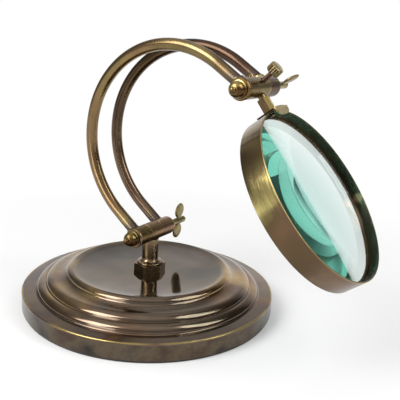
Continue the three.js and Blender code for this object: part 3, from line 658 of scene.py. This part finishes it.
# %% Thumb screw finish
thumb_frame = frame_along(UPPER_AXIS, thumb_way)
material, tree, shader = new_material("thumb_brass")
place = place_in(tree, thumb_frame)
x, y, z = split_up(tree, place)
color, clouds = aged(tree, place, (0.5, 0.42, 0.2), (0.42, 0.33, 0.14), (0.25, 0.18, 0.08), 200, 0.56, 0.4)
HEAD_RADIUS = 4.1
hollow = span(tree, distance_from_axis(tree, x, y), (HEAD_RADIUS - 0.12) * MM, (HEAD_RADIUS - 0.25) * MM)
under_end = span(tree, z, 0.0168, 0.0166)
hollow = reckon(tree, "MULTIPLY", hollow, under_end)
color = blend_colors(tree, hollow, color, (0.1, 0.052, 0.032))
polish(tree, shader, place, color, clouds, 0.22)
finishes["thumb_brass"] = material
print("flutes are dark within", round(HEAD_RADIUS - 0.25, 2), "mm of the axis")

# %% Thumb screw
profile = [(0, 2.7), (1.1, 2.7), (1.45, 3.1)]
for i in range(15):
    profile += [(1.5, 3.4 + 0.6 * i), (1.32, 3.7 + 0.6 * i)]
profile += [(1.5, 12.3), (3.7, 12.3), (HEAD_RADIUS, 12.75), (HEAD_RADIUS, 16.6), (3.6, 17.1)]
finish = "thumb_brass"
bm = spun(profile + [(0, 17.1)], 144, 0.1)
thumb = finished("thumb_screw_knurled", bm, thumb_frame, "bright_brass", "thumb", "thumb_screw", finish=finish)
FLUTES = 17
flutes = bmesh.new()
for i in range(FLUTES):
    at = Matrix.Rotation(math.tau * i / FLUTES, 4, "Z") @ Matrix.Translation(Vector((4.28, 0, 14.7)) * MM)
    size = {"radius1": 0.6 * MM, "radius2": 0.6 * MM, "depth": 6 * MM}
    bmesh.ops.create_cone(flutes, cap_ends=True, segments=10, matrix=at, **size)
flutes.transform(thumb_frame)
cut(thumb, flutes)
print("thumb screw flutes:", FLUTES)

# %% [markdown]
# ## Arms
# The arms are tubes bent on a former: a long arc with a short straight end into either barrel.
# The bend has to meet both pivots, so its radius follows from the bow and the length of the ends.

# %% Path of the arms
ARM_RADIUS = 3.56
BOW = 18.5
STRAIGHT_END = 21.1
ARM_GAP = BARREL - 1.3
span_way = (UPPER_AXIS - LOWER_AXIS).normalized()
bow_way = span_way.cross(ACROSS)
half_span = (UPPER_AXIS - LOWER_AXIS).length / 2
arc_centre = (LOWER_AXIS + UPPER_AXIS) / 2 + bow_way * BOW
arc_radius = math.sqrt(half_span**2 + BOW**2 - STRAIGHT_END**2)
bend_start = math.atan2(STRAIGHT_END, arc_radius) - math.atan2(BOW, half_span)
bend_angle = math.pi - 2 * bend_start
start_way = bow_way * math.cos(bend_start) - span_way * math.sin(bend_start)
print("bend radius", round(arc_radius, 2), "mm through", round(math.degrees(bend_angle), 1), "degrees")

# %% [markdown]
# The near tube is gold to olive, the far one red-brown to nearly black, and both are painted dark grey near the
# solder, as painted shade where the tubes meet the barrels.
# The tone is read from how far round the bend a point lies, so it follows the tube.

# %% Arm finishes
def arm_brass(name, tones, blush, patina, gloss):
    """A brass whose tone follows the bend: the angle is 0 at the left, 90 at the top, below 0 at the foot."""
    material, tree, shader = new_material(name)
    place = place_in(tree)
    x, y, z = split_up(tree, place)
    left = reckon(tree, "SUBTRACT", arc_centre.x * MM, x)
    high = reckon(tree, "SUBTRACT", z, arc_centre.z * MM)
    angle = reckon(tree, "ARCTAN2", high, left)
    wander = span(tree, noise(tree, place, 45, 3), 0.3, 0.7, -0.35, 0.35)
    low_end, high_end = math.radians(-70), math.radians(160)
    stops = [(math.radians(degrees), color) for degrees, color in tones]
    tone = color_stops(tree, reckon(tree, "ADD", angle, wander), low_end, high_end, stops)
    color, clouds = aged(tree, place, tone, blush, patina, 70, 0.55, 0.2)
    # Painted shade: both ends of the tube turn dark grey where they meet the barrels.
    foot_shade = span(tree, angle, math.radians(-60), math.radians(-66), 0, 0.8)
    head_shade = span(tree, angle, math.radians(127), math.radians(134), 0, 0.8)
    color = blend_colors(tree, reckon(tree, "MAXIMUM", foot_shade, head_shade), color, (0.09, 0.075, 0.065))
    polish(tree, shader, place, color, clouds, gloss, 0.06, 0.0)
    finishes[name] = material


near_tones = [(-60, (0.3, 0.22, 0.1)), (-10, (0.27, 0.175, 0.085)), (30, (0.27, 0.2, 0.08))]
near_tones += [(75, (0.3, 0.24, 0.1)), (120, (0.15, 0.105, 0.055))]
arm_brass("near_arm_brass", near_tones, (0.24, 0.15, 0.075), (0.15, 0.105, 0.05), 0.21)
far_tones = [(-60, (0.24, 0.16, 0.1)), (-10, (0.15, 0.1, 0.06)), (40, (0.11, 0.075, 0.036))]
far_tones += [(90, (0.06, 0.036, 0.022)), (140, (0.09, 0.042, 0.033))]
arm_brass("far_arm_brass", far_tones, (0.11, 0.066, 0.045), (0.07, 0.044, 0.028), 0.22)
print("arm tones:", len(near_tones), "along each arm")

# %% [markdown]
# A circle is spun about the centre of the bend for the arc, and its two end rings are extruded for the straight ends.
# A fillet of hard solder closes each joint, so a small flared collar sits where the tube meets the barrel. Three of
# the four fillets are dark, partly as solder and partly as painted shade where tube and barrel meet.

# %% Arms with their solder fillets
def arm(name, side, slot, node):
    """One bent tube at a place along Y; side is -1 for the near one."""
    place = ACROSS * side * ARM_SIDE
    outward = span_way * math.cos(bend_start) + bow_way * math.sin(bend_start)
    start = arc_centre + outward * arc_radius + place
    bm = bmesh.new()
    ring = bmesh.ops.create_circle(bm, radius=ARM_RADIUS * MM, segments=64)["verts"]
    edges = list(bm.edges)
    bm.transform(frame_along(start, start_way, outward))
    straight = STRAIGHT_END - ARM_GAP
    move_new(bm, bmesh.ops.extrude_edge_only(bm, edges=edges), -start_way * straight * MM)
    centre, axis = (arc_centre + place) * MM, outward.cross(start_way)
    arc = bmesh.ops.spin(bm, geom=ring + edges, cent=centre, axis=axis, angle=bend_angle, steps=200)["geom_last"]
    last = [e for e in arc if isinstance(e, bmesh.types.BMEdge)]
    way = Matrix.Rotation(bend_angle, 3, axis) @ start_way
    move_new(bm, bmesh.ops.extrude_edge_only(bm, edges=last), way * straight * MM)
    bmesh.ops.holes_fill(bm, edges=[e for e in bm.edges if e.is_boundary])
    return finished(name, bm, Matrix(), slot, "arms", node, finish=node + "_brass")


near = arm("near_arm_tube", -1, "olive_brass", "near_arm")
arm("far_arm_tube", 1, "red_brass", "far_arm")

end_way = -(Matrix.Rotation(bend_angle, 3, span_way.cross(bow_way)) @ start_way)
fillet = [(3.3, 5.2), (4.6, 5.85), (4.1, 6.15), (3.82, 6.55), (3.66, 7.1), (3.58, 7.7), (3.3, 7.7)]
for axis, way, place in ((LOWER_AXIS, start_way, "lower"), (UPPER_AXIS, end_way, "upper")):
    for side, name in ((-1, "near"), (1, "far")):
        bm = spun(fillet, 64, 0)
        for v in bm.verts:
            v.co.z -= (BARREL - math.sqrt(BARREL**2 - (v.co.x / MM) ** 2)) * MM
        # Dark fillet finish: partly solder, partly painted shade at the joint.
        slot, finish = "barrel_brass", "solder_and_shade_brass"
        if (place, name) == ("upper", "far"):
            slot, finish = "red_brass", "strap_brass"
        frame_at = frame_along(axis + ACROSS * side * ARM_SIDE, way, way.cross(ACROSS))
        finished(f"{place}_{name}_solder", bm, frame_at, slot, "arms", sharp=60, finish=finish)
print("near arm faces:", len(near.data.polygons))

# %% [markdown]
# ## Stem and lens holder
# A round rod passes through the middle knuckle and screws into a hexagonal standoff, which is gold on most flats and
# painted dark red-brown on the flats turned to the near side, as painted shade. One screw through the band holds a
# strap and the band to the standoff.

# %% Stem rod and standoff
STANDOFF_CORNER = 3.95
STANDOFF_TURN = math.radians(14)
RING_TOP = 16.35
RING_DISTANCE = RING_TOP + RING_RADIUS
stem_frame = frame_along(UPPER_AXIS, stem_way, lens_facing)
rod_profile = [(0, -7.9), (1.7, -7.9), (2.25, -7.4), (2.25, 7.1), (1.9, 7.1), (1.9, 9.2), (0, 9.2)]
finished("stem_rod_turned", spun(rod_profile, 48, 0.1), stem_frame, "olive_brass", "lens_holder", "stem_rod")
material, tree, shader = new_material("stem_brass")
place = place_in(tree, stem_frame)
x, y, z = split_up(tree, place)
color, clouds = aged(tree, place, (0.42, 0.33, 0.12), (0.34, 0.25, 0.09), (0.2, 0.14, 0.06), 160, 0.56, 0.5)
# Painted shade: the flats turned to the near side are made dark red-brown.
near_side_shade = span(tree, reckon(tree, "MULTIPLY_ADD", x, -0.3, y), 0.0025, 0.003, 0, 0.9)
color = blend_colors(tree, near_side_shade, color, (0.1, 0.055, 0.035))
polish(tree, shader, place, color, clouds, 0.2)
finishes["stem_brass"] = material
bar = hexagon(STANDOFF_CORNER, 7.2, 15.3, STANDOFF_TURN)
finished("standoff_bar", bar, stem_frame, "olive_brass", "lens_holder", "stem_standoff", finish="stem_brass")

screw_start = RING_TOP + 1.15
profile = [(0, 9.5), (0.9, 9.5), (0.9, screw_start), (1.6, screw_start), (1.6, screw_start + 0.5)]
profile += quarter((1.6, screw_start + 0.5), (0, screw_start + 1.3), 5)
finished("strap_screw_turned", spun(profile, 32, 0.05), stem_frame, "dark_brass", "lens_holder", "strap_screw")
print("band starts", RING_TOP, "mm along the stem")

# %% [markdown]
# A strap that follows the band is folded down in front of its rim. It is rubbed bright, and its two ends are painted
# black as painted shade.

# %% Strap finish
strap_frame = frame_from(UPPER_AXIS * MM, lens_across, stem_way, lens_facing)
material, tree, shader = new_material("bent_strap_brass")
place = place_in(tree, strap_frame)
x, y, z = split_up(tree, place)
color, clouds = aged(tree, place, (0.5, 0.43, 0.17), (0.4, 0.32, 0.13), (0.2, 0.14, 0.07), 140, 0.56)
# Painted shade: the strap's two ends are turned nearly black.
end_shade = span(tree, reckon(tree, "ABSOLUTE", x), 0.0076, 0.008)
end_shade = reckon(tree, "MULTIPLY", end_shade, span(tree, z, 0.006, 0.0055))
color = blend_colors(tree, end_shade, color, (0.03, 0.024, 0.018))
polish(tree, shader, place, color, clouds, 0.24, 0.1, 0.006)
finishes["bent_strap_brass"] = material
print("strap is worn bright in front and dark at its ends")

# %% [markdown]
# The strap is a bar that is spun a little way round the band's centre. Its tongue is a circle pushed out to a
# rounded rectangle, cut straight on top, thickened and joined to the bar.

# %% Strap
STRAP_STEPS = 24
inner, outer = RING_RADIUS + 0.1, RING_RADIUS + 0.9
strap_bm = bmesh.new()
reach = math.asin(8 / inner)
first = [
    strap_bm.verts.new((radius * math.sin(-reach) * MM, (RING_DISTANCE - radius * math.cos(reach)) * MM, z * MM))
    for radius, z in ((inner, -5.7), (inner, 6.6), (outer, 6.95), (outer, -5.7))
]
edges = [strap_bm.edges.new((first[i], first[(i + 1) % 4])) for i in range(4)]
bmesh.ops.spin(
    strap_bm, geom=first + edges, cent=(0, RING_DISTANCE * MM, 0), axis=(0, 0, 1), angle=2 * reach, steps=STRAP_STEPS
)
bmesh.ops.holes_fill(strap_bm, edges=[e for e in strap_bm.edges if e.is_boundary])
bmesh.ops.recalc_face_normals(strap_bm, faces=strap_bm.faces)
break_corners(strap_bm, 0.2)
finish = "bent_strap_brass"
strap = finished("ring_strap_bent", strap_bm, strap_frame, "bright_brass", "lens_holder", "ring_strap", finish=finish)

tab = bmesh.new()
bmesh.ops.create_circle(tab, cap_ends=True, radius=1, segments=96)
for v in tab.verts:
    fullness = (abs(v.co.x) ** 3 + abs(v.co.y) ** 3) ** (-1 / 3)
    v.co = (v.co.x * fullness * 8.2 * MM, v.co.y * fullness * 4.7 * MM, 0)
bmesh.ops.translate(tab, verts=tab.verts, vec=(0, (RING_TOP - 0.1) * MM, 6.2 * MM))
move_new(tab, bmesh.ops.extrude_face_region(tab, geom=list(tab.faces)), (0, 0, 0.8 * MM))
plane = {"plane_co": (0, (RING_TOP - 0.45) * MM, 0), "plane_no": (0, -1, 0)}
bmesh.ops.bisect_plane(tab, geom=tab.verts[:] + tab.edges[:] + tab.faces[:], clear_outer=True, **plane)
bmesh.ops.holes_fill(tab, edges=[e for e in tab.edges if e.is_boundary])
bmesh.ops.recalc_face_normals(tab, faces=tab.faces)
break_corners(tab, 0.2)
tab.transform(strap_frame)
cut(strap, tab, "UNION")
print("strap faces:", len(strap.data.polygons))

# %% [markdown]
# ## Band, lens and retaining rings
# The band is a strip of brass soldered into a hoop. Outside it was brushed round and runs from olive at the top
# to copper below, with a painted highlight near the top and painted shade below it; inside it is nearly black.

# %% Band finish
BEHIND_STEM = 3.45
ring_centre = UPPER_AXIS + stem_way * RING_DISTANCE - lens_facing * BEHIND_STEM
ring_frame = frame_along(ring_centre, lens_facing)
material, tree, shader = new_material("ring_brass")
place = place_in(tree, ring_frame)
x, y, z = split_up(tree, place)
from_axis = distance_from_axis(tree, x, y)
wander = span(tree, noise(tree, place, 35, 3), 0.3, 0.7, -0.016, 0.016)
down = reckon(tree, "ADD", x, wander)
# Tones down the hoop: olive to copper, with a painted highlight near the top and painted shade below it.
tones = [(-0.05, (0.25, 0.185, 0.095)), (-0.032, (0.66, 0.52, 0.21)), (-0.014, (0.33, 0.28, 0.105))]
tones += [(-0.002, (0.085, 0.07, 0.027)), (0.022, (0.085, 0.06, 0.036)), (0.036, (0.14, 0.1, 0.068))]
tones += [(0.05, (0.28, 0.2, 0.135))]
tone = color_stops(tree, down, -RING_RADIUS * MM, RING_RADIUS * MM, tones)
color, clouds = aged(tree, place, tone, (0.17, 0.1, 0.058), (0.1, 0.075, 0.042), 48, 0.57, 0.3)
round_the_hoop = reckon(tree, "ARCTAN2", y, x)
for degrees, slant in ((-145.8, 3.6), (-140.2, 2.0)):
    middle = reckon(tree, "MULTIPLY_ADD", z, slant, math.radians(degrees))
    off_line = reckon(tree, "ABSOLUTE", reckon(tree, "SUBTRACT", round_the_hoop, middle))
    seam = span(tree, off_line, 0.006, 0.012, 0.9, 0)
    color = blend_colors(tree, seam, color, (0.07, 0.045, 0.028))
# Painted highlight: a gold line along the band's front edge.
front_edge_highlight = reckon(tree, "MULTIPLY", span(tree, z, 0.00655, 0.0068), 0.8)
color = blend_colors(tree, front_edge_highlight, color, (0.55, 0.42, 0.18))
inside = span(tree, from_axis, (RING_RADIUS - 0.4) * MM, (RING_RADIUS - 0.7) * MM)
inner_tone = blend_colors(tree, clouds, (0.11, 0.095, 0.065), (0.07, 0.06, 0.042))
# Painted reflection: a small copper glint on the inside of the band.
from_glint = reckon_vectors(tree, "DISTANCE", place, (0.0121, 0.0496, 0.0041))
rub_and_glint = span(tree, from_glint, 0.0036, 0.0018)
inner_tone = blend_colors(tree, rub_and_glint, inner_tone, (0.7, 0.4, 0.25))
color = blend_colors(tree, inside, color, inner_tone)
brushed = place_in(tree, ring_frame, (0.02, 0.02, 1))
polish(tree, shader, brushed, color, clouds, 0.2, 0.08, 0.35)
finishes["ring_brass"] = material
print("band finish runs from olive to copper over", 2 * RING_RADIUS, "mm")

# %% [markdown]
# The lens is a double-convex disc: its outline has two large arcs, spun about the optical axis. Two thin spring
# rings hold it in the band.

# %% Lens ring, lens and retainers
HALF_WIDTH = 6.95
INNER = 51.05
band = [(INNER, -HALF_WIDTH)] + [(RING_RADIUS, height) for height in (-HALF_WIDTH, -3, 0, 3, HALF_WIDTH)]
band += [(INNER, height) for height in (HALF_WIDTH, 3, 0, -3)]
finished("lens_band", spun(band, 256, 0.3, 4), ring_frame, "ring_brass", "lens_holder", "lens_ring")

LENS_RADIUS = 50.9
LENS_FRONT = HALF_WIDTH - 7
LENS_BACK = LENS_FRONT - 2.4
CURVE = 255.0


def lens_arc(direction, edge, steps=14):
    """Points of one face of the lens from the axis out to its edge."""
    rise = CURVE - math.sqrt(CURVE**2 - LENS_RADIUS**2)
    points = []
    for i in range(steps + 1):
        radius = LENS_RADIUS * i / steps
        fall = CURVE - math.sqrt(CURVE**2 - radius**2)
        points.append((radius, edge + direction * (rise - fall)))
    return points


profile = lens_arc(-1, LENS_BACK) + lens_arc(1, LENS_FRONT)[::-1]
finished("lens_disc", spun(profile, 192, 0), ring_frame, "glass", "lens_holder", "lens", sharp=40)

for place, edge, direction in (("front", LENS_FRONT, 1), ("back", LENS_BACK, -1)):
    near_side, far_side = edge + direction * 0.3, edge + direction * 0.9
    profile = [(49.8, near_side), (LENS_RADIUS, near_side), (LENS_RADIUS, far_side), (49.8, far_side)]
    bm = spun(profile, 192, 0.15)
    finished(place + "_spring_ring", bm, ring_frame, "dark_brass", "lens_holder", place + "_retainer")
print("lens rises", round(lens_arc(1, 0)[0][1], 2), "mm on either face")

# %% [markdown]
# ## Floor, surroundings and lamps
# The stand is shown on a white sheet in a plain studio. The floor is partly plain white to the camera, so that only
# a soft shadow is left on it.

# %% Floor
def mix_shaders(tree, share, first, second, output):
    """Sends a mix of two shaders by a share to the surface of an output."""
    both = tree.nodes.new("ShaderNodeMixShader")
    for socket, source in zip(both.inputs, (share, first.outputs[0], second.outputs[0])):
        tree.links.new(source, socket)
    put(tree, output, {"Surface": both.outputs[0]})


FLOOR_HALF = 3
floor_bm = bmesh.new()
bmesh.ops.create_grid(floor_bm, x_segments=1, y_segments=1, size=FLOOR_HALF)
floor_mesh = mesh_of("floor", floor_bm)
floor = placed("floor", floor_mesh)
sheet, tree, shader = new_material("white_sheet")
tree.nodes.remove(shader)
diffuse = tree.nodes.new("ShaderNodeBsdfDiffuse")
put(tree, diffuse, {"Color": (0.8, 0.8, 0.8, 1)})
plain = tree.nodes.new("ShaderNodeEmission")
put(tree, plain, {"Strength": 1})
rays = tree.nodes.new("ShaderNodeLightPath")
seen = reckon(tree, "MAXIMUM", rays.outputs["Is Glossy Ray"], rays.outputs["Is Transmission Ray"])
seen = reckon(tree, "MAXIMUM", rays.outputs["Is Camera Ray"], seen)
away = reckon_vectors(tree, "LENGTH", place_in(tree, Matrix.Translation((0.04, -0.01, 0))))
whiter = span(tree, away, 0.13, 0.34, 0.2, 1.0)
share = reckon(tree, "MULTIPLY", seen, whiter)
mix_shaders(tree, share, diffuse, plain, tree.nodes["Material Output"])
floor_mesh.materials.append(sheet)
print("floor is", 2 * FLOOR_HALF, "m square")

# %% [markdown]
# The camera finds white all round. Metal and glass find the white backdrop behind the stand, and the grey of the
# room elsewhere, which gives the polished curves their darker bands.

# %% Surroundings
def level_way(degrees):
    """A direction a little over the level, at a turn from X."""
    return Vector((math.cos(math.radians(degrees)), math.sin(math.radians(degrees)), 0.1)).normalized()


BACKDROP_WAY, DARK_WAY = level_way(115), level_way(48)
LEFT_WAY = Vector((-1, -0.05, 0.05)).normalized()
world = bpy.data.worlds.new("studio")
scene.world = world
world.use_nodes = True
tree = world.node_tree
tree.nodes.clear()
direction = tree.nodes.new("ShaderNodeTexCoord").outputs["Generated"]
x, y, z = split_up(tree, direction)


def toward(way):
    """How closely a direction of the surroundings points along a way; 1 is exactly along it."""
    return reckon_vectors(tree, "DOT_PRODUCT", direction, way)


backdrop = span(tree, toward(BACKDROP_WAY), 0.62, 0.86)
backdrop = reckon(tree, "MULTIPLY", backdrop, span(tree, z, 0.66, 0.36))
rays = tree.nodes.new("ShaderNodeLightPath")
mirrored = reckon(tree, "MAXIMUM", rays.outputs["Is Glossy Ray"], rays.outputs["Is Transmission Ray"])
mirrored = reckon(tree, "MULTIPLY", mirrored, backdrop)
seen = reckon(tree, "MAXIMUM", rays.outputs["Is Camera Ray"], mirrored)
room = tree.nodes.new("ShaderNodeBackground")
dim = span(tree, toward(DARK_WAY), 0.25, 0.72)
dim = reckon(tree, "MAXIMUM", dim, span(tree, toward(LEFT_WAY), 0.5, 0.9, 0, 0.7))
ceiling = span(tree, z, 0.6, 0.9)
room_tone = blend_colors(tree, ceiling, (0.42, 0.42, 0.42), (0.95, 0.95, 0.95))
put(tree, room, {"Color": blend_colors(tree, dim, room_tone, (0.08, 0.08, 0.08))})
white = tree.nodes.new("ShaderNodeBackground")
put(tree, white, {"Color": (1, 1, 1, 1)})
mix_shaders(tree, seen, room, white, tree.nodes.new("ShaderNodeOutputWorld"))
print("backdrop lies toward", [round(v, 2) for v in BACKDROP_WAY])

# %% [markdown]
# Large soft lamps give polished metal broad highlights with soft borders. The low card lights the fronts of the
# base's beads, which the two softboxes pass over.

# %% Lamps
STAND_MIDDLE = Vector((0.03, 0, 0.07))
LAMP_DISTANCE = 1.1


def around(degrees, rise_degrees):
    """A place in metres round the stand, at a turn about Z and a rise over the floor."""
    turn_by, rise = math.radians(degrees), math.radians(rise_degrees)
    flat = LAMP_DISTANCE * math.cos(rise)
    return Vector((flat * math.cos(turn_by), flat * math.sin(turn_by), LAMP_DISTANCE * math.sin(rise) + 0.06))


def lamp(name, place, size, power):
    """A rectangular soft lamp at a place in metres that faces the stand."""
    data = bpy.data.lights.new(name, "AREA")
    data.shape = "RECTANGLE"
    data.size, data.size_y = size
    data.energy = power
    made = placed(name, data)
    made.rotation_euler = (STAND_MIDDLE - place).to_track_quat("-Z", "Y").to_euler()
    made.location = place


lamp("left_softbox", around(-113, 41), (0.55, 0.7), 10)
lamp("right_softbox", around(12, 40), (0.42, 0.8), 5.5)
lamp("low_card", around(-97, 10), (0.5, 0.42), 2.6)
print("two softboxes and a low card", LAMP_DISTANCE, "m away")

# %% [markdown]
# A ray that goes into the lens near its rim is mirrored five to eight times between the two faces before it leaves.
# The usual limit of four mirrorings would leave that part black, so the limit is raised.

# %% Light paths
scene.cycles.glossy_bounces = 12
scene.cycles.max_bounces = 20
print("mirrorings followed:", scene.cycles.glossy_bounces)

# %% [markdown]
# A narrow bevel beside a long flat or straight face would bend that face's shading along its whole length.
# Weighting each corner's normal by the size of its faces keeps flats flat and leaves the bend to the bevel.

# %% Even shading
for piece in pieces:
    even = piece.modifiers.new("even_shading", "WEIGHTED_NORMAL")
    even.keep_sharp = True
    even.weight = 75
print("pieces with even shading:", len(pieces))

# %% [markdown]
# The Standard view keeps white paper white.

# %% View settings
scene.view_settings.view_transform = "Standard"
